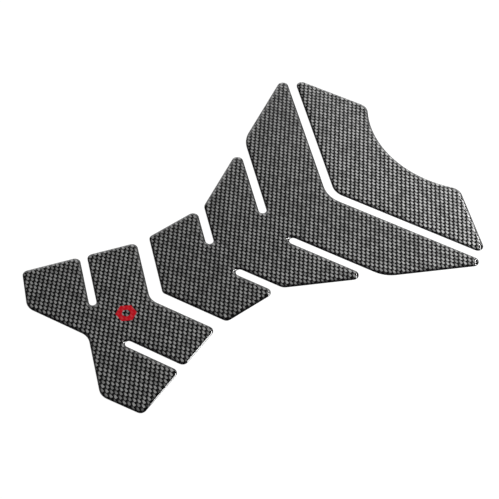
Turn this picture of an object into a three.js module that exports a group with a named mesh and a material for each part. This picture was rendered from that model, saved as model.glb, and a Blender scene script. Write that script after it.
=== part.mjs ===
import * as THREE from "three";

// A stick-on tank pad in three flat segments. Each segment is a printed film with a clear
// resin dome cast on it. Lengths are in millimetres and angles in degrees. The pad lies on
// its adhesive side: length along X with the filler cap end at +X, width along Y, up is +Z.

// Laminate
const filmThickness = 0.3;
const domeHeight = 1.1;
const domeEdgeWidth = 2.4;

// Every chevron edge and relief slot sweeps forward from the pad's axis by this angle
const sweepAngle = 24.4;

// Relief cuts, each measured square to its edges
const rearSlotWidth = 3.5;
const middleSlotWidth = 3.9;
const rearGapWidth = 6.4;
const frontGapWidth = 4.3;

// Rear segment: lengths along the axis, half widths from the axis
const tailLobeLength = 5.6;
const rearMainLength = 28.7;
const rearWebHalfWidth = 13.7;
const tailCornerHalfWidth = 30;
const tailTipHalfWidth = 49;
const tailEndAngle = 26;
const rearFrontHalfWidth = 31.6;

// Middle segment: three lobes along the axis, joined by a web
const hindLobeLength = 30.6;
const centreLobeLength = 32.2;
const foreLobeLength = 36.4;
const middleWebHalfWidth = 10.95;
const waistHalfWidth = 31;
const wingHalfWidth = 79.1;

// Front segment, with a round recess for the filler cap
const frontSpineLength = 38.1;
const frontTipHalfWidth = 73.7;
const capRecessRadius = 53;
const capCornerHalfWidth = 35;

// Corner radii
const tipRadius = 2.8;
const tailCornerRadius = 7;
const rearNotchRadius = 7.5;
const middleNotchRadius = 14;
const middlePointRadius = 2.6;
const hindShoulderRadius = 4.5;
const foreShoulderRadius = 16;
const frontPointRadius = 9;
const capCornerRadius = 6.4;

// Facets: the most that a chord leaves its arc, and the steps up the dome's edge
const chordError = 0.03;
const domeEdgeSteps = 5;

// The longest share of an edge that one corner's fillet may take
const filletShare = 0.48;

const sweep = THREE.MathUtils.degToRad(sweepAngle);
const alongAxis = (squareWidth) => squareWidth / Math.cos(sweep);
const point = (x, y) => new THREE.Vector2(x, y);

// The point at half width y on the chevron line that leaves the axis at x
const onChevron = (x, y) => point(x + Math.tan(sweep) * y, y);

// Where the straight edge from a to b crosses the chevron line that leaves the axis at x
function crossChevron(a, b, x) {
  const offset = (p) => p.x - Math.tan(sweep) * p.y - x;
  return a.clone().lerp(b, offset(a) / (offset(a) - offset(b)));
}

// An outline is a list of corners and arcs, counter-clockwise seen from above. A hollow
// arc bends into the segment, and is followed clockwise.
const corner = (at, radius) => ({ from: at, to: at, radius });
const arc = (centre, from, to, hollow) => ({ centre, from, to, hollow });

// The round end of a relief slot, whose centre line leaves the axis at x. It stops at the
// web's half width.
function slotEnd(x, width, webHalfWidth) {
  const outward = point(Math.sin(sweep), Math.cos(sweep)).multiplyScalar(width / 2);
  const hindSide = onChevron(x - alongAxis(width) / 2, webHalfWidth).add(outward);
  const across = point(Math.cos(sweep), -Math.sin(sweep)).multiplyScalar(width);
  const foreSide = hindSide.clone().add(across);
  const centre = hindSide.clone().lerp(foreSide, 0.5);
  return arc(centre, hindSide, foreSide, true);
}

// Both sides of a slot's mouth in the edge from a to b
function slotMouth(a, b, x, width) {
  const half = alongAxis(width) / 2;
  return [crossChevron(a, b, x - half), crossChevron(a, b, x + half)];
}

const flipPoint = (p) => point(p.x, -p.y);

function flip(item) {
  const flipped = { ...item, from: flipPoint(item.from), to: flipPoint(item.to) };
  if (item.centre) {
    flipped.centre = flipPoint(item.centre);
  }
  return flipped;
}

const turn = (item) => ({ ...item, from: item.to, to: item.from });

// The whole outline from its item on the axis at the rear, one side from rear to front
// and its item on the axis at the front
function mirrored(rearItem, side, frontItem) {
  return [rearItem, ...side.map(flip), frontItem, ...side.map(turn).reverse()];
}

// Points and outward normals along an arc
function arcPoints({ centre, from, to, hollow }) {
  const radius = centre.distanceTo(from);
  const turnSign = hollow ? -1 : 1;
  const start = from.clone().sub(centre).angle();
  const end = to.clone().sub(centre).angle();
  const span = THREE.MathUtils.euclideanModulo(turnSign * (end - start), 2 * Math.PI);
  const facetAngle = 2 * Math.acos(1 - Math.min(chordError / radius, 0.5));
  const facets = Math.max(2, Math.ceil(span / facetAngle));
  const found = [];
  for (let i = 0; i <= facets; i++) {
    const angle = start + (turnSign * span * i) / facets;
    const outward = point(Math.cos(angle), Math.sin(angle));
    const at = centre.clone().addScaledVector(outward, radius);
    found.push({ at, normal: outward.multiplyScalar(turnSign) });
  }
  return found;
}

// The fillet arc in a corner, no longer than the edges beside it allow
function filletArc(item, before, after) {
  const back = before.to.clone().sub(item.from);
  const ahead = after.from.clone().sub(item.from);
  const room = filletShare * Math.min(back.length(), ahead.length());
  const hollow = ahead.clone().cross(back) < 0;
  back.normalize();
  ahead.normalize();
  const halfAngle = Math.acos(THREE.MathUtils.clamp(back.dot(ahead), -1, 1)) / 2;
  const reach = Math.min(item.radius / Math.tan(halfAngle), room);
  const middle = back.clone().add(ahead).normalize();
  const centre = item.from.clone().addScaledVector(middle, reach / Math.cos(halfAngle));
  const from = item.from.clone().addScaledVector(back, reach);
  const to = item.from.clone().addScaledVector(ahead, reach);
  return arc(centre, from, to, hollow);
}

function outlinePoints(items) {
  const count = items.length;
  return items.flatMap((item, i) => {
    const before = items[(i + count - 1) % count];
    const after = items[(i + 1) % count];
    return arcPoints(item.centre ? item : filletArc(item, before, after));
  });
}

// A closed solid through rings of the same outline, each inset by its own amount
function loftedSolid(outline, rings) {
  const count = outline.length;
  const positions = [];
  for (const { inset, z } of rings) {
    for (const { at, normal } of outline) {
      positions.push(at.x - inset * normal.x, at.y - inset * normal.y, z);
    }
  }
  const ringContour = (ring) => {
    const start = ring * count;
    return outline.map((_, i) => {
      const offset = 3 * (start + i);
      return point(positions[offset], positions[offset + 1]);
    });
  };
  const index = [];
  const last = rings.length - 1;
  for (const [a, b, c] of THREE.ShapeUtils.triangulateShape(ringContour(0), [])) {
    index.push(a, c, b);
  }
  for (const [a, b, c] of THREE.ShapeUtils.triangulateShape(ringContour(last), [])) {
    index.push(last * count + a, last * count + b, last * count + c);
  }
  for (let ring = 0; ring < last; ring++) {
    for (let i = 0; i < count; i++) {
      const low = ring * count + i;
      const lowNext = ring * count + ((i + 1) % count);
      index.push(low, lowNext, lowNext + count);
      index.push(low, lowNext + count, low + count);
    }
  }
  const geometry = new THREE.BufferGeometry();
  geometry.setAttribute("position", new THREE.Float32BufferAttribute(positions, 3));
  geometry.setIndex(index);
  geometry.computeVertexNormals();
  return geometry;
}

// The rear segment, with a notched tail and one relief slot a side
function rearOutline(tailNotch) {
  const slot = tailNotch + tailLobeLength;
  const front = slot + rearMainLength;
  const tailCorner = point(tailNotch - Math.tan(sweep) * tailCornerHalfWidth, tailCornerHalfWidth);
  const tipReach = tailTipHalfWidth - tailCornerHalfWidth;
  const tipLean = Math.tan(THREE.MathUtils.degToRad(tailEndAngle));
  const tailTip = point(tailCorner.x + tipLean * tipReach, tailTipHalfWidth);
  const frontTip = onChevron(front, rearFrontHalfWidth);
  const [mouthHind, mouthFore] = slotMouth(tailTip, frontTip, slot, rearSlotWidth);
  const side = [
    corner(tailCorner, tailCornerRadius),
    corner(tailTip, tipRadius),
    corner(mouthHind, tipRadius),
    slotEnd(slot, rearSlotWidth, rearWebHalfWidth),
    corner(mouthFore, tipRadius),
    corner(frontTip, tipRadius),
  ];
  const outline = mirrored(
    corner(point(tailNotch, 0), rearNotchRadius),
    side,
    corner(point(front, 0), rearNotchRadius),
  );
  return { outline, front };
}

// The middle segment, from its straight waist to the wings, with two relief slots a side
function middleOutline(rearPoint) {
  const hindSlot = rearPoint + hindLobeLength;
  const foreSlot = hindSlot + centreLobeLength;
  const front = foreSlot + foreLobeLength;
  const half = alongAxis(middleSlotWidth) / 2;
  const waistStart = onChevron(rearPoint, waistHalfWidth);
  const waistEnd = onChevron(hindSlot - half, waistHalfWidth);
  const flareStart = onChevron(hindSlot + half, waistHalfWidth);
  const wingTip = onChevron(front, wingHalfWidth);
  const [mouthHind, mouthFore] = slotMouth(flareStart, wingTip, foreSlot, middleSlotWidth);
  const side = [
    corner(waistStart, tipRadius),
    corner(waistEnd, tipRadius),
    slotEnd(hindSlot, middleSlotWidth, middleWebHalfWidth),
    corner(flareStart, hindShoulderRadius),
    corner(mouthHind, tipRadius),
    slotEnd(foreSlot, middleSlotWidth, middleWebHalfWidth),
    corner(mouthFore, foreShoulderRadius),
    corner(wingTip, tipRadius),
  ];
  const outline = mirrored(
    corner(point(rearPoint, 0), middlePointRadius),
    side,
    corner(point(front, 0), middleNotchRadius),
  );
  return { outline, front };
}

// The front segment, whose recess follows the filler cap's ring
function frontOutline(rearPoint) {
  const recessCentre = point(rearPoint + frontSpineLength + capRecessRadius, 0);
  const recessAngle = Math.PI - Math.asin(capCornerHalfWidth / capRecessRadius);
  const recessRim = point(Math.cos(recessAngle), Math.sin(recessAngle));
  const capCorner = recessCentre.clone().addScaledVector(recessRim, capRecessRadius);
  const wingTip = onChevron(rearPoint, frontTipHalfWidth);
  const edge = capCorner.clone().sub(wingTip).normalize();
  const inward = point(edge.y, -edge.x);
  // The rounding rolls along the inside of the straight edge until it touches the recess
  const track = wingTip.clone().addScaledVector(inward, capCornerRadius).sub(recessCentre);
  const along = track.dot(edge);
  const contact = (capRecessRadius + capCornerRadius) ** 2;
  const travel = -along - Math.sqrt(along ** 2 - track.lengthSq() + contact);
  const centre = track.clone().addScaledVector(edge, travel).add(recessCentre);
  const edgeTouch = centre.clone().addScaledVector(inward, -capCornerRadius);
  const toRounding = centre.clone().sub(recessCentre).normalize();
  const recessTouch = recessCentre.clone().addScaledVector(toRounding, capRecessRadius);
  const side = [corner(wingTip, tipRadius), arc(centre, edgeTouch, recessTouch, false)];
  const recess = arc(recessCentre, flipPoint(recessTouch), recessTouch, true);
  const outline = mirrored(corner(point(rearPoint, 0), frontPointRadius), side, recess);
  return { outline };
}

const rear = rearOutline(0);
const middle = middleOutline(rear.front + alongAxis(rearGapWidth));
const front = frontOutline(middle.front + alongAxis(frontGapWidth));

const filmRings = [
  { inset: 0, z: 0 },
  { inset: 0, z: filmThickness },
];

// The resin's edge rises in a parabola to its flat top
const domeRings = Array.from({ length: domeEdgeSteps + 1 }, (_, step) => {
  const share = step / domeEdgeSteps;
  return {
    inset: domeEdgeWidth * share,
    z: filmThickness + domeHeight * (1 - (1 - share) ** 2),
  };
});

function filmMaterial() {
  return new THREE.MeshStandardMaterial({ color: 0x3c3c3e, roughness: 0.45, metalness: 0 });
}

function domeMaterial() {
  const material = new THREE.MeshStandardMaterial({ color: 0xf4f4f4, roughness: 0.08 });
  material.metalness = 0;
  material.transparent = true;
  material.opacity = 0.25;
  return material;
}

const pad = new THREE.Group();
pad.name = "tank_pad";
for (const [name, segment] of Object.entries({ rear, middle, front })) {
  const outline = outlinePoints(segment.outline);
  const film = new THREE.Mesh(loftedSolid(outline, filmRings), filmMaterial());
  film.name = `${name}_film`;
  const dome = new THREE.Mesh(loftedSolid(outline, domeRings), domeMaterial());
  dome.name = `${name}_dome`;
  pad.add(film, dome);
}

// The origin is under the middle of the pad's length, on its axis
const reach = new THREE.Box3().setFromObject(pad);
pad.position.x = -(reach.min.x + reach.max.x) / 2;

export default pad;
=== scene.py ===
"""A stick-on tank pad in three segments: woven-look printed film under clear domed resin."""

import math

import bmesh
import bpy
from bpy.props import FloatProperty, FloatVectorProperty, PointerProperty
from mathutils import Matrix, Vector


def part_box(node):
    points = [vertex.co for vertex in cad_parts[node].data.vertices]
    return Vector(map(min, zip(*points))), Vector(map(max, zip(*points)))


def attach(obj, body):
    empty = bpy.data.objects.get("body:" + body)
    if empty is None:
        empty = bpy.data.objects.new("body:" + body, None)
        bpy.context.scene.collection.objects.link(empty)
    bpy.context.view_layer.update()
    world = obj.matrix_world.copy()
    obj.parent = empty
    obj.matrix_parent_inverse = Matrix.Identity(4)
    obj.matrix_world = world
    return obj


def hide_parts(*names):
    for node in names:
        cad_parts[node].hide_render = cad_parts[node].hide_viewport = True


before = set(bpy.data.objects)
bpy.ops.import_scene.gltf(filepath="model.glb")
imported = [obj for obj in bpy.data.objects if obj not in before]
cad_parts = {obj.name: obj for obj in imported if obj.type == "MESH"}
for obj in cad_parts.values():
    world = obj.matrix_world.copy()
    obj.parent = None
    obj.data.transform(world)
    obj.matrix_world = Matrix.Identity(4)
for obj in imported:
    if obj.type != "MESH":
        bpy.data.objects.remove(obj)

bl_info = {
    "name": "Tank Pad",
    "version": (1, 0, 0),
    "blender": (4, 5, 0),
    "location": "3D View > Sidebar > Tank Pad",
    "description": "Dresses a segmented tank pad in printed film and clear domed resin",
    "category": "Object",
}

MM = 0.001
SEGMENTS = ("rear", "middle", "front")
BODY = "root"

FILM_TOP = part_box("middle_film")[1].z
RESIN_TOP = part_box("middle_dome")[1].z
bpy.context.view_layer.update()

# Where the weave's pattern starts on each segment, in millimetres
WEAVE_START = {"rear": (-2.68, 0.60), "middle": (-1.50, 0.75), "front": (-1.20, 0.55)}

# How much lighter or darker the same print is painted on each segment: painted light and shade for
# how brightly each segment is lit
PRINT_LIGHT_AND_SHADE = {"rear": 1.07, "middle": 0.86, "front": 1.06}

# One float of the weave, from -1 to 1 along it: where it comes up, where it fades, and to what
FLOAT_RISE = (-0.753, -0.376)
FLOAT_FADE = (-0.283, 1.03)
FLOAT_FADED = 0.1
# In shares of a tow's width: the float's middle line, its lean, and where its flanks fall off
FLOAT_MIDDLE = 0.253
FLOAT_LEAN = 0.156
FLOAT_FLANK = (0.22, 0.67)
# Lightness below the first share is printed dark, and above the second fully light
PRINT_CONTRAST = (0.05, 0.8)
# How uneven the print is from float to float, and from strand to strand
FLOAT_LEVELS = (0.66, 1.24)
STRAND_LEVELS = (0.8, 1.12)

# The mark's soft edge, and how much of the weave shows through its ink
MARK_BLUR = 0.15 * MM
INK_SHOW_THROUGH = 0.1

# The film: how far its faces must turn up or down to carry the print or the adhesive
FACE_TURN = (0.4, 0.6)
PRINT_ROUGHNESS = 0.6
ADHESIVE_ROUGHNESS = 0.35
PRINT_SPECULAR = 0.1

# The resin: its bending of light, and how far up its edge faces where the painted shade on its edge
# ends
RESIN_IOR = 1.49
EDGE_SHADE_END = (0.8, 0.95)
WAVE_STRENGTH = 0.12
WAVE_HEIGHT = 0.1 * MM

# The resin's mesh: its edge's rings, the rim's facets that are arcs, and how finely it is cut
EDGE_STEPS = 12
LONGEST_FACET = 4.0 * MM
RIM_STEP = 0.5 * MM
SEAT_INSET = 0.02 * MM
SHARP_ANGLE = math.radians(50)
SAME_HEIGHT = 0.01 * MM

# The floor's size in metres, and the strength of the white that it shows
FLOOR_SIZE = 4.0
FLOOR_WHITE = 1.15

# The lamps: the place of each, the point that it faces, its width and its height, in metres
SIDE_LAMP = ((0.225, -0.14, 0.157), (0.0, 0.0, 0.0), 0.3, 0.045)
EDGE_LAMP = ((0.41, 0.03, 0.145), (0.1, -0.055, 0.0), 0.08, 0.11)

# The studio: its dim level, the bright wall's direction in plan and where it starts and is full
ROOM_LEVEL = 0.06
WALL_DIRECTION = (0.64, 0.77)
WALL_RISE = (0.62, 0.86)
# The pale skirting: its level, where it ends towards the wall, and where its top fades out
SKIRTING_LEVEL = 0.4
SKIRTING_END = (0.2, 0.5)
SKIRTING_TOP = (math.sin(math.radians(15)), math.sin(math.radians(32)))

SENSOR_WIDTH = 36.0


class TankPadSizes(bpy.types.PropertyGroup):
    """Sizes of the resin's edge, the printed weave and the mark"""

    edge_width: FloatProperty(
        name="Resin edge width",
        description="How far in from the film's edge the resin reaches its full height",
        default=2.4 * MM,
        min=0.2 * MM,
        unit="LENGTH",
    )
    seat_depth: FloatProperty(
        name="Resin seat depth",
        description="How far the resin reaches into the film's surface, so that they bond",
        default=0.05 * MM,
        min=0.0,
        unit="LENGTH",
    )
    tow_pitch_along: FloatProperty(
        name="Weave pitch along",
        description="Distance between the crosswise tows, along the pad",
        default=1.3925 * MM,
        min=0.2 * MM,
        unit="LENGTH",
    )
    tow_pitch_across: FloatProperty(
        name="Weave pitch across",
        description="Distance between the lengthwise tows, across the pad",
        default=1.6 * MM,
        min=0.2 * MM,
        unit="LENGTH",
    )
    mark_width: FloatProperty(
        name="Mark width",
        description="Width of the hexagonal mark across its flats",
        default=8.6 * MM,
        min=1.0 * MM,
        unit="LENGTH",
    )
    mark_hole: FloatProperty(
        name="Mark hole",
        description="Diameter of the round hole in the mark",
        default=3.8 * MM,
        min=0.0,
        unit="LENGTH",
    )
    mark_station: FloatProperty(
        name="Mark station",
        description="Place of the mark along the pad's axis",
        default=-70.4 * MM,
        unit="LENGTH",
    )


class TankPadFinish(bpy.types.PropertyGroup):
    """Colours of the print, the film and the resin"""

    light_tow: FloatVectorProperty(
        name="Light tow",
        description="Colour of the crosswise tows where they pass over",
        default=(0.51, 0.51, 0.505),
        subtype="COLOR",
        min=0.0,
        max=1.0,
    )
    dark_tow: FloatVectorProperty(
        name="Dark tow",
        description="Colour of the shaded gaps between the tows",
        default=(0.001, 0.001, 0.001),
        subtype="COLOR",
        min=0.0,
        max=1.0,
    )
    cut_edge: FloatVectorProperty(
        name="Cut edge",
        description="Colour of the film's cut edge",
        default=(0.004, 0.004, 0.0045),
        subtype="COLOR",
        min=0.0,
        max=1.0,
    )
    adhesive: FloatVectorProperty(
        name="Adhesive",
        description="Colour of the adhesive side",
        default=(0.42, 0.41, 0.38),
        subtype="COLOR",
        min=0.0,
        max=1.0,
    )
    mark: FloatVectorProperty(
        name="Mark",
        description="Colour of the small printed mark",
        default=(1.0, 0.001, 0.018),
        subtype="COLOR",
        min=0.0,
        max=1.0,
    )
    resin: FloatVectorProperty(
        name="Resin",
        description="Tint of the clear resin",
        default=(1.0, 1.0, 1.0),
        subtype="COLOR",
        min=0.0,
        max=1.0,
    )
    # Painted shade: a near-black tint on the resin's steep edge stands in for the shade that the
    # edge casts on the print beneath it
    resin_edge_shade: FloatVectorProperty(
        name="Resin edge",
        description="Tint of the resin where its edge is steep, which hides the lit print there",
        default=(0.008, 0.008, 0.009),
        subtype="COLOR",
        min=0.0,
        max=1.0,
    )
    resin_roughness: FloatProperty(
        name="Resin roughness",
        description="Roughness of the resin's cast surface",
        default=0.03,
        min=0.0,
        max=1.0,
        subtype="FACTOR",
    )


class TankPadStage(bpy.types.PropertyGroup):
    """The floor, the lamps and the camera"""

    floor_colour: FloatVectorProperty(
        name="Floor",
        description="Colour of the floor",
        default=(0.92, 0.92, 0.92),
        subtype="COLOR",
        min=0.0,
        max=1.0,
    )
    floor_glow: FloatProperty(
        name="Floor glow",
        description="Share of plain white in the floor where it is seen, so that it clears to white",
        default=0.85,
        min=0.0,
        max=1.0,
        subtype="FACTOR",
    )
    key_power: FloatProperty(
        name="Side lamp power",
        description="Power of the soft lamp beside the front end",
        default=0.93,
        min=0.0,
        unit="POWER",
    )
    edge_power: FloatProperty(
        name="Edge lamp power",
        description="Power of the small lamp that the front end's straight edge mirrors",
        default=0.16,
        min=0.0,
        unit="POWER",
    )
    lens: FloatProperty(
        name="Lens",
        description="Focal length of the camera for a 36 mm wide sensor",
        default=105.39,
        min=1.0,
        unit="CAMERA",
    )
    azimuth: FloatProperty(
        name="Camera azimuth",
        description="Direction of view in plan, from +Y towards -X",
        default=math.radians(-39.42),
        subtype="ANGLE",
    )
    elevation: FloatProperty(
        name="Camera elevation",
        description="Height of the camera above the horizon, as an angle",
        default=math.radians(51.2),
        subtype="ANGLE",
    )
    roll: FloatProperty(
        name="Camera roll",
        description="Turn of the camera about its own axis",
        default=math.radians(2.29),
        subtype="ANGLE",
    )
    distance: FloatProperty(
        name="Camera distance",
        description="Distance from the camera to the point that it aims at",
        default=0.69538,
        min=0.05,
        unit="LENGTH",
    )
    aim: FloatVectorProperty(
        name="Camera aim",
        description="Point on the floor that the camera aims at",
        default=(-1.879 * MM, -3.745 * MM, 0.3 * MM),
        subtype="XYZ",
        unit="LENGTH",
    )


class Graph:
    """Adds nodes to a node tree and links them, so that a formula reads as calls."""

    def __init__(self, tree):
        self.tree = tree

    def node(self, kind, **settings):
        made = self.tree.nodes.new(kind)
        for name, value in settings.items():
            setattr(made, name, value)
        return made

    def feed(self, socket, value):
        if isinstance(value, bpy.types.NodeSocket):
            self.tree.links.new(value, socket)
        else:
            socket.default_value = value

    def math(self, operation, *values):
        made = self.node("ShaderNodeMath", operation=operation)
        for socket, value in zip(made.inputs, values):
            self.feed(socket, value)
        return made.outputs[0]

    def ramp(self, value, low, high, start=0.0, end=1.0):
        """A smooth step that goes from start at low to end at high."""
        made = self.node("ShaderNodeMapRange", interpolation_type="SMOOTHSTEP")
        for name, put in (
            ("Value", value),
            ("From Min", low),
            ("From Max", high),
            ("To Min", start),
            ("To Max", end),
        ):
            self.feed(made.inputs[name], put)
        return made.outputs["Result"]

    def mix(self, share, first, second):
        # A mix node's sockets share their names, so its colour ones are taken by number
        made = self.node("ShaderNodeMix", data_type="RGBA")
        self.feed(made.inputs[0], share)
        self.feed(made.inputs[6], first)
        self.feed(made.inputs[7], second)
        return made.outputs[2]

    def split(self, vector):
        made = self.node("ShaderNodeSeparateXYZ")
        self.feed(made.inputs[0], vector)
        return made.outputs[0], made.outputs[1], made.outputs[2]

    def join(self, x, y, z):
        made = self.node("ShaderNodeCombineXYZ")
        for socket, value in zip(made.inputs, (x, y, z)):
            self.feed(socket, value)
        return made.outputs[0]

    def noise(self, vector, scale, detail=2.0, roughness=0.5):
        made = self.node("ShaderNodeTexNoise")
        self.feed(made.inputs["Vector"], vector)
        made.inputs["Scale"].default_value = scale
        made.inputs["Detail"].default_value = detail
        made.inputs["Roughness"].default_value = roughness
        return made.outputs["Fac"]


def opaque(colour):
    """A colour property as the four numbers of a colour socket."""
    return (*colour, 1.0)


def new_group(name, inputs, outputs):
    """An empty shader node group with its named sockets, and a graph to fill it."""
    group = bpy.data.node_groups.new(name, "ShaderNodeTree")
    for label, kind in inputs:
        group.interface.new_socket(name=label, in_out="INPUT", socket_type=kind)
    for label, kind in outputs:
        group.interface.new_socket(name=label, in_out="OUTPUT", socket_type=kind)
    graph = Graph(group)
    source = graph.node("NodeGroupInput")
    sink = graph.node("NodeGroupOutput")
    return group, graph, source, sink


def woven_print_group():
    """The printed plain weave: light crosswise tows with dark gaps between them."""
    group, graph, source, sink = new_group(
        "Woven Print",
        (
            ("Vector", "NodeSocketVector"),
            ("Pitch Along", "NodeSocketFloat"),
            ("Pitch Across", "NodeSocketFloat"),
            ("Light", "NodeSocketColor"),
            ("Dark", "NodeSocketColor"),
        ),
        (("Color", "NodeSocketColor"),),
    )
    x, y, _ = graph.split(source.outputs["Vector"])
    along = graph.math("DIVIDE", x, source.outputs["Pitch Along"])
    across = graph.math("DIVIDE", y, source.outputs["Pitch Across"])
    along = graph.math("ADD", along, 0.5)
    column = graph.math("FLOOR", along)
    # From -0.5 to 0.5 across a crosswise tow, and from -1 to 1 from one float to the next
    side = graph.math("SUBTRACT", graph.math("FRACT", along), 0.5)
    run = graph.math("DIVIDE", graph.math("ADD", across, column), 2.0)
    run = graph.math("ADD", run, 0.5)
    row = graph.math("FLOOR", run)
    run = graph.math("SUBTRACT", graph.math("MULTIPLY", graph.math("FRACT", run), 2.0), 1.0)

    # Each float starts crisply at its near end, fades to its far end and leans a little
    middle = graph.math("ADD", graph.math("MULTIPLY", run, FLOAT_LEAN), FLOAT_MIDDLE)
    off = graph.math("ABSOLUTE", graph.math("SUBTRACT", side, middle))
    near_end = graph.ramp(run, *FLOAT_RISE)
    far_end = graph.ramp(run, *FLOAT_FADE, 1.0, FLOAT_FADED)
    flank = graph.ramp(off, *FLOAT_FLANK, 1.0, 0.0)
    light = graph.math("MULTIPLY", graph.math("MULTIPLY", near_end, far_end), flank)
    light = graph.ramp(light, *PRINT_CONTRAST)

    cell = graph.node("ShaderNodeTexWhiteNoise", noise_dimensions="2D")
    graph.feed(cell.inputs["Vector"], graph.join(column, row, 0.0))
    uneven = graph.ramp(cell.outputs["Value"], 0.0, 1.0, *FLOAT_LEVELS)
    # The strands run along the float, so the noise is fine across it and long along it
    fibres = graph.join(
        graph.math("MULTIPLY", along, 9.0), graph.math("MULTIPLY", across, 0.8), 0.0
    )
    strands = graph.ramp(graph.noise(fibres, 1.0, 3.0), 0.25, 0.75, *STRAND_LEVELS)
    level = graph.math("MULTIPLY", graph.math("MULTIPLY", light, uneven), strands)
    colour = graph.mix(level, source.outputs["Dark"], source.outputs["Light"])
    graph.tree.links.new(colour, sink.inputs["Color"])
    return group


def hexagon_ring_group():
    """A mask of a small hexagonal ring, flat sides to the front and back."""
    group, graph, source, sink = new_group(
        "Hexagon Ring",
        (
            ("Vector", "NodeSocketVector"),
            ("Width", "NodeSocketFloat"),
            ("Hole", "NodeSocketFloat"),
            ("Blur", "NodeSocketFloat"),
        ),
        (("Mask", "NodeSocketFloat"),),
    )
    x, y, _ = graph.split(source.outputs["Vector"])
    x = graph.math("ABSOLUTE", x)
    y = graph.math("ABSOLUTE", y)
    slanted = graph.math(
        "ADD",
        graph.math("MULTIPLY", x, math.cos(math.radians(60))),
        graph.math("MULTIPLY", y, math.sin(math.radians(60))),
    )
    reach = graph.math("MAXIMUM", x, slanted)
    half = graph.math("MULTIPLY", source.outputs["Width"], 0.5)
    blur = source.outputs["Blur"]
    within = graph.math("DIVIDE", graph.math("SUBTRACT", half, reach), blur)
    radius = graph.math(
        "SQRT",
        graph.math("ADD", graph.math("MULTIPLY", x, x), graph.math("MULTIPLY", y, y)),
    )
    hole = graph.math("MULTIPLY", source.outputs["Hole"], 0.5)
    outside = graph.math("DIVIDE", graph.math("SUBTRACT", radius, hole), blur)
    mask = graph.ramp(graph.math("MINIMUM", within, outside), -0.5, 0.5)
    graph.tree.links.new(mask, sink.inputs["Mask"])
    return group


def new_material(name):
    """An empty material, its graph and its output node."""
    material = bpy.data.materials.new(name)
    material.use_nodes = True
    material.node_tree.nodes.clear()
    graph = Graph(material.node_tree)
    output = graph.node("ShaderNodeOutputMaterial")
    return material, graph, output


def print_material(segment, weave, ring, sizes, finish):
    """Printed vinyl film: the weave on top, a dark cut edge and the adhesive underneath."""
    material, graph, output = new_material(f"{segment} printed film")
    place = graph.node("ShaderNodeTexCoord").outputs["Object"]
    start = WEAVE_START[segment]
    shifted = graph.node("ShaderNodeMapping")
    graph.feed(shifted.inputs["Vector"], place)
    shifted.inputs["Location"].default_value = (-start[0] * MM, -start[1] * MM, 0.0)

    woven = graph.node("ShaderNodeGroup", node_tree=weave)
    graph.feed(woven.inputs["Vector"], shifted.outputs[0])
    woven.inputs["Pitch Along"].default_value = sizes.tow_pitch_along
    woven.inputs["Pitch Across"].default_value = sizes.tow_pitch_across
    # Painted light and shade: the light tows are made lighter or darker on each segment for how
    # brightly it is lit
    light_tow = [PRINT_LIGHT_AND_SHADE[segment] * part for part in finish.light_tow]
    woven.inputs["Light"].default_value = opaque(light_tow)
    woven.inputs["Dark"].default_value = opaque(finish.dark_tow)
    colour = woven.outputs["Color"]

    if segment == "rear":
        centred = graph.node("ShaderNodeMapping")
        graph.feed(centred.inputs["Vector"], place)
        centred.inputs["Location"].default_value = (-sizes.mark_station, 0.0, 0.0)
        mark = graph.node("ShaderNodeGroup", node_tree=ring)
        graph.feed(mark.inputs["Vector"], centred.outputs[0])
        mark.inputs["Width"].default_value = sizes.mark_width
        mark.inputs["Hole"].default_value = sizes.mark_hole
        mark.inputs["Blur"].default_value = MARK_BLUR
        inked = graph.mix(INK_SHOW_THROUGH, opaque(finish.mark), colour)
        colour = graph.mix(mark.outputs["Mask"], colour, inked)

    facing = graph.split(graph.node("ShaderNodeNewGeometry").outputs["Normal"])[2]
    on_top = graph.ramp(facing, *FACE_TURN)
    below = graph.ramp(facing, -FACE_TURN[0], -FACE_TURN[1])
    grain = graph.ramp(graph.noise(place, 900.0, 4.0), 0.3, 0.7, 0.86, 1.04)
    adhesive = graph.node("ShaderNodeMix", data_type="RGBA", blend_type="MULTIPLY")
    adhesive.inputs[0].default_value = 1.0
    adhesive.inputs[6].default_value = opaque(finish.adhesive)
    graph.feed(adhesive.inputs[7], graph.join(grain, grain, grain))
    colour = graph.mix(on_top, opaque(finish.cut_edge), colour)
    colour = graph.mix(below, colour, adhesive.outputs[2])

    surface = graph.node("ShaderNodeBsdfPrincipled")
    graph.feed(surface.inputs["Base Color"], colour)
    dull = graph.ramp(below, 0.0, 1.0, PRINT_ROUGHNESS, ADHESIVE_ROUGHNESS)
    graph.feed(surface.inputs["Roughness"], dull)
    surface.inputs["Specular IOR Level"].default_value = PRINT_SPECULAR
    graph.tree.links.new(surface.outputs[0], output.inputs["Surface"])
    return material


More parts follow.
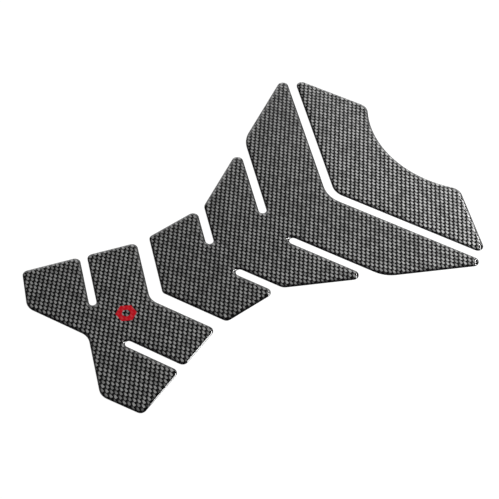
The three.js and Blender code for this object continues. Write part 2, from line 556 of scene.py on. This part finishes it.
def resin_material(finish):
    """Clear cast resin: it bends and mirrors what is seen, lets light reach the print, and darkens
    its steep edge with painted shade.
    """
    material, graph, output = new_material("clear cast resin")
    place = graph.node("ShaderNodeTexCoord").outputs["Object"]
    # The cast surface is smooth but for slow waves
    waves = graph.node("ShaderNodeBump")
    waves.inputs["Strength"].default_value = WAVE_STRENGTH
    waves.inputs["Distance"].default_value = WAVE_HEIGHT
    graph.feed(waves.inputs["Height"], graph.noise(place, 120.0, 2.0))
    smears = graph.noise(place, 60.0, 3.0, 0.6)
    dull = finish.resin_roughness

    glass = graph.node("ShaderNodeBsdfPrincipled")
    # Painted shade: where its edge is steep the resin is tinted near black, standing in for the
    # shade that the edge casts on the print under it
    facing = graph.split(graph.node("ShaderNodeNewGeometry").outputs["Normal"])[2]
    unshaded_flatness = graph.ramp(facing, *EDGE_SHADE_END)
    resin_tint_and_edge_shade = graph.mix(unshaded_flatness, opaque(finish.resin_edge_shade), opaque(finish.resin))
    graph.feed(glass.inputs["Base Color"], resin_tint_and_edge_shade)
    glass.inputs["Transmission Weight"].default_value = 1.0
    glass.inputs["IOR"].default_value = RESIN_IOR
    graph.feed(glass.inputs["Roughness"], graph.ramp(smears, 0.35, 0.75, dull, dull * 2.0))
    graph.feed(glass.inputs["Normal"], waves.outputs[0])
    clear = graph.node("ShaderNodeBsdfTransparent")
    path = graph.node("ShaderNodeLightPath")
    shader = glass.outputs[0]
    for ray in ("Is Diffuse Ray", "Is Shadow Ray"):
        chosen = graph.node("ShaderNodeMixShader")
        graph.feed(chosen.inputs[0], path.outputs[ray])
        graph.tree.links.new(shader, chosen.inputs[1])
        graph.tree.links.new(clear.outputs[0], chosen.inputs[2])
        shader = chosen.outputs[0]
    graph.tree.links.new(shader, output.inputs["Surface"])
    return material


def film_rim(node):
    """The outline of a film, counter-clockwise seen from above, as a list of points."""
    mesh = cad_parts[node].data
    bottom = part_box(node)[0].z
    rim = set()
    for face in mesh.polygons:
        corners = [tuple(round(c, 7) for c in mesh.vertices[i].co) for i in face.vertices]
        if any(abs(corner[2] - bottom) > SAME_HEIGHT for corner in corners):
            continue
        for a, b in zip(corners, corners[1:] + corners[:1]):
            if (b, a) in rim:
                rim.remove((b, a))
            else:
                rim.add((a, b))
    # Faces of the underside are clockwise seen from above, so the rim is walked backwards
    back = {b: a for a, b in rim}
    if len(back) != len(rim) or not rim:
        raise RuntimeError(f"{node} has no single outline to build the resin on")
    start = min(back)
    found = [start]
    while back[found[-1]] != start:
        found.append(back[found[-1]])
    return [Vector(corner[:2]) for corner in found]


def turn_between(a, b):
    """The angle by which direction b turns left of direction a."""
    return math.atan2(a.cross(b), a.dot(b))


def smooth_rim(points, longest_facet, step):
    """Points and outward normals along an outline, its facets rounded back into arcs."""
    count = len(points)
    edges = [points[(i + 1) % count] - points[i] for i in range(count)]
    turns = [turn_between(edges[i - 1], edges[i]) for i in range(count)]
    bends = []
    for i, edge in enumerate(edges):
        around = (turns[i], turns[(i + 1) % count])
        bends.append(0.0 if edge.length > longest_facet else max(around, key=abs))
    rim = []
    for i, edge in enumerate(edges):
        parts = max(1, math.ceil(edge.length / step))
        heading = math.atan2(edge.y, edge.x)
        half = bends[i] / 2
        side = Vector((edge.y, -edge.x)).normalized()
        for part in range(parts):
            share = part / parts
            angle = heading + half * (2 * share - 1)
            # A circular arc through both ends bulges to the right where it turns left
            bulge = edge.length / 2 * math.tan(half / 2) * 4 * share * (1 - share)
            at = points[i] + edge * share + side * bulge
            rim.append((at, Vector((math.sin(angle), -math.cos(angle)))))
    return rim


def resin_rings(sizes):
    """Inset and height of each ring of the resin, in a parabola up to its flat top."""
    rings = [(SEAT_INSET, FILM_TOP - sizes.seat_depth)]
    for step in range(EDGE_STEPS + 1):
        share = step / EDGE_STEPS
        rise = (RESIN_TOP - FILM_TOP) * (1 - (1 - share) ** 2)
        rings.append((sizes.edge_width * share, FILM_TOP + rise))
    return rings


def build_resin(segment, sizes):
    """The clear dome on one film."""
    rim = smooth_rim(film_rim(f"{segment}_film"), LONGEST_FACET, RIM_STEP)
    shape = bmesh.new()
    rings = []
    for inset, height in resin_rings(sizes):
        ring = [shape.verts.new((*(at - normal * inset), height)) for at, normal in rim]
        rings.append(ring)
    count = len(rim)
    for low, high in zip(rings, rings[1:]):
        for i in range(count):
            j = (i + 1) % count
            shape.faces.new((low[i], low[j], high[j], high[i]))
    shape.faces.new(rings[-1])
    shape.faces.new(rings[0][::-1])
    name = f"{segment}_resin"
    mesh = bpy.data.meshes.new(name)
    shape.to_mesh(mesh)
    shape.free()
    mesh.shade_smooth()
    mesh.set_sharp_from_angle(angle=SHARP_ANGLE)
    piece = bpy.data.objects.new(name, mesh)
    bpy.context.scene.collection.objects.link(piece)
    return piece


class TANKPAD_OT_print(bpy.types.Operator):
    """Prints the weave and the mark on the films"""

    bl_idname = "tank_pad.print"
    bl_label = "Print the films"

    def execute(self, context):
        sizes = context.scene.tank_pad_sizes
        finish = context.scene.tank_pad_finish
        weave = woven_print_group()
        ring = hexagon_ring_group()
        for segment in SEGMENTS:
            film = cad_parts[f"{segment}_film"]
            film.data.materials.clear()
            film.data.materials.append(print_material(segment, weave, ring, sizes, finish))
        return {"FINISHED"}


class TANKPAD_OT_resin(bpy.types.Operator):
    """Casts the clear resin on the films"""

    bl_idname = "tank_pad.resin"
    bl_label = "Cast the resin"

    def execute(self, context):
        sizes = context.scene.tank_pad_sizes
        material = resin_material(context.scene.tank_pad_finish)
        for segment in SEGMENTS:
            piece = build_resin(segment, sizes)
            piece.data.materials.append(material)
            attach(piece, BODY)
            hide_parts(f"{segment}_dome")
        return {"FINISHED"}


def add_floor(stage):
    """A wide pale floor that stays white to the eye and keeps the pad's shadow."""
    material, graph, output = new_material("floor")
    matte = graph.node("ShaderNodeBsdfDiffuse")
    matte.inputs["Color"].default_value = opaque(stage.floor_colour)
    path = graph.node("ShaderNodeLightPath").outputs
    seen = graph.math("MAXIMUM", path["Is Camera Ray"], path["Is Glossy Ray"])
    seen = graph.math("MAXIMUM", seen, path["Is Transmission Ray"])
    white = graph.node("ShaderNodeEmission")
    white.inputs["Strength"].default_value = FLOOR_WHITE
    both = graph.node("ShaderNodeMixShader")
    graph.feed(both.inputs[0], graph.math("MULTIPLY", seen, stage.floor_glow))
    graph.tree.links.new(matte.outputs[0], both.inputs[1])
    graph.tree.links.new(white.outputs[0], both.inputs[2])
    graph.tree.links.new(both.outputs[0], output.inputs["Surface"])
    bpy.ops.mesh.primitive_plane_add(size=FLOOR_SIZE, location=(0.0, 0.0, 0.0))
    floor = bpy.context.object
    floor.name = "floor"
    floor.data.materials.append(material)


def add_world():
    """A dim studio with a bright wall on the far side and a pale skirting behind the camera."""
    world = bpy.data.worlds.new("studio")
    bpy.context.scene.world = world
    world.use_nodes = True
    world.node_tree.nodes.clear()
    graph = Graph(world.node_tree)
    x, y, height = graph.split(graph.node("ShaderNodeTexCoord").outputs["Generated"])
    # The far side of the pad mirrors the wall, and its other sides mirror the dim parts
    along = graph.math("MULTIPLY", x, WALL_DIRECTION[0])
    across = graph.math("MULTIPLY", y, WALL_DIRECTION[1])
    ahead = graph.math("ADD", along, across)
    wall = graph.ramp(ahead, *WALL_RISE)
    low = graph.ramp(height, *SKIRTING_TOP, 1.0, 0.0)
    behind = graph.ramp(ahead, *SKIRTING_END, SKIRTING_LEVEL, 0.0)
    skirting = graph.math("MULTIPLY", behind, low)
    level = graph.math("ADD", graph.math("ADD", wall, skirting), ROOM_LEVEL)
    sky = graph.node("ShaderNodeBackground")
    graph.feed(sky.inputs["Color"], graph.join(level, level, level))
    output = graph.node("ShaderNodeOutputWorld")
    graph.tree.links.new(sky.outputs[0], output.inputs["Surface"])


def add_lamp(name, place, aim, width, height, power):
    """A soft rectangular lamp that faces its aim."""
    data = bpy.data.lights.new(name, "AREA")
    data.shape = "RECTANGLE"
    data.size = width
    data.size_y = height
    data.energy = power
    lamp = bpy.data.objects.new(name, data)
    lamp.location = place
    lamp.rotation_euler = (Vector(aim) - Vector(place)).to_track_quat("-Z", "Y").to_euler()
    bpy.context.scene.collection.objects.link(lamp)


def add_camera(stage):
    """The camera, turned and aimed by the stage's angles."""
    azimuth, elevation, roll = stage.azimuth, stage.elevation, stage.roll
    back = Vector(
        (
            math.sin(azimuth) * math.cos(elevation),
            -math.cos(azimuth) * math.cos(elevation),
            math.sin(elevation),
        )
    )
    level = Vector((math.cos(azimuth), math.sin(azimuth), 0.0))
    upright = back.cross(level)
    right = math.cos(roll) * level + math.sin(roll) * upright
    up = back.cross(right)
    data = bpy.data.cameras.new("camera")
    data.sensor_width = SENSOR_WIDTH
    data.lens = stage.lens
    data.clip_start = 0.01
    data.clip_end = 20.0
    camera = bpy.data.objects.new("camera", data)
    turned = Matrix((right, up, back)).transposed().to_4x4()
    camera.matrix_world = Matrix.Translation(Vector(stage.aim) + back * stage.distance) @ turned
    bpy.context.scene.collection.objects.link(camera)
    bpy.context.scene.camera = camera


class TANKPAD_OT_stage(bpy.types.Operator):
    """Sets up the floor, the light and the camera"""

    bl_idname = "tank_pad.stage"
    bl_label = "Set up the stage"

    def execute(self, context):
        stage = context.scene.tank_pad_stage
        add_floor(stage)
        add_world()
        add_lamp("side lamp", *SIDE_LAMP, stage.key_power)
        add_lamp("edge lamp", *EDGE_LAMP, stage.edge_power)
        add_camera(stage)
        context.scene.view_settings.view_transform = "Standard"
        return {"FINISHED"}


class TANKPAD_PT_panel(bpy.types.Panel):
    """Lists the steps that make the pad"""

    bl_idname = "TANKPAD_PT_panel"
    bl_label = "Tank Pad"
    bl_space_type = "VIEW_3D"
    bl_region_type = "UI"
    bl_category = "Tank Pad"

    def draw(self, context):
        for step in STEPS:
            self.layout.operator(step.bl_idname)


STEPS = (TANKPAD_OT_print, TANKPAD_OT_resin, TANKPAD_OT_stage)
GROUPS = (
    ("tank_pad_sizes", TankPadSizes),
    ("tank_pad_finish", TankPadFinish),
    ("tank_pad_stage", TankPadStage),
)


def register():
    for name, group in GROUPS:
        bpy.utils.register_class(group)
        setattr(bpy.types.Scene, name, PointerProperty(type=group))
    for step in STEPS:
        bpy.utils.register_class(step)
    bpy.utils.register_class(TANKPAD_PT_panel)


def unregister():
    bpy.utils.unregister_class(TANKPAD_PT_panel)
    for step in reversed(STEPS):
        bpy.utils.unregister_class(step)
    for name, group in reversed(GROUPS):
        delattr(bpy.types.Scene, name)
        bpy.utils.unregister_class(group)


def main():
    register()
    bpy.ops.tank_pad.print()
    bpy.ops.tank_pad.resin()
    bpy.ops.tank_pad.stage()


if __name__ == "__main__":
    main()
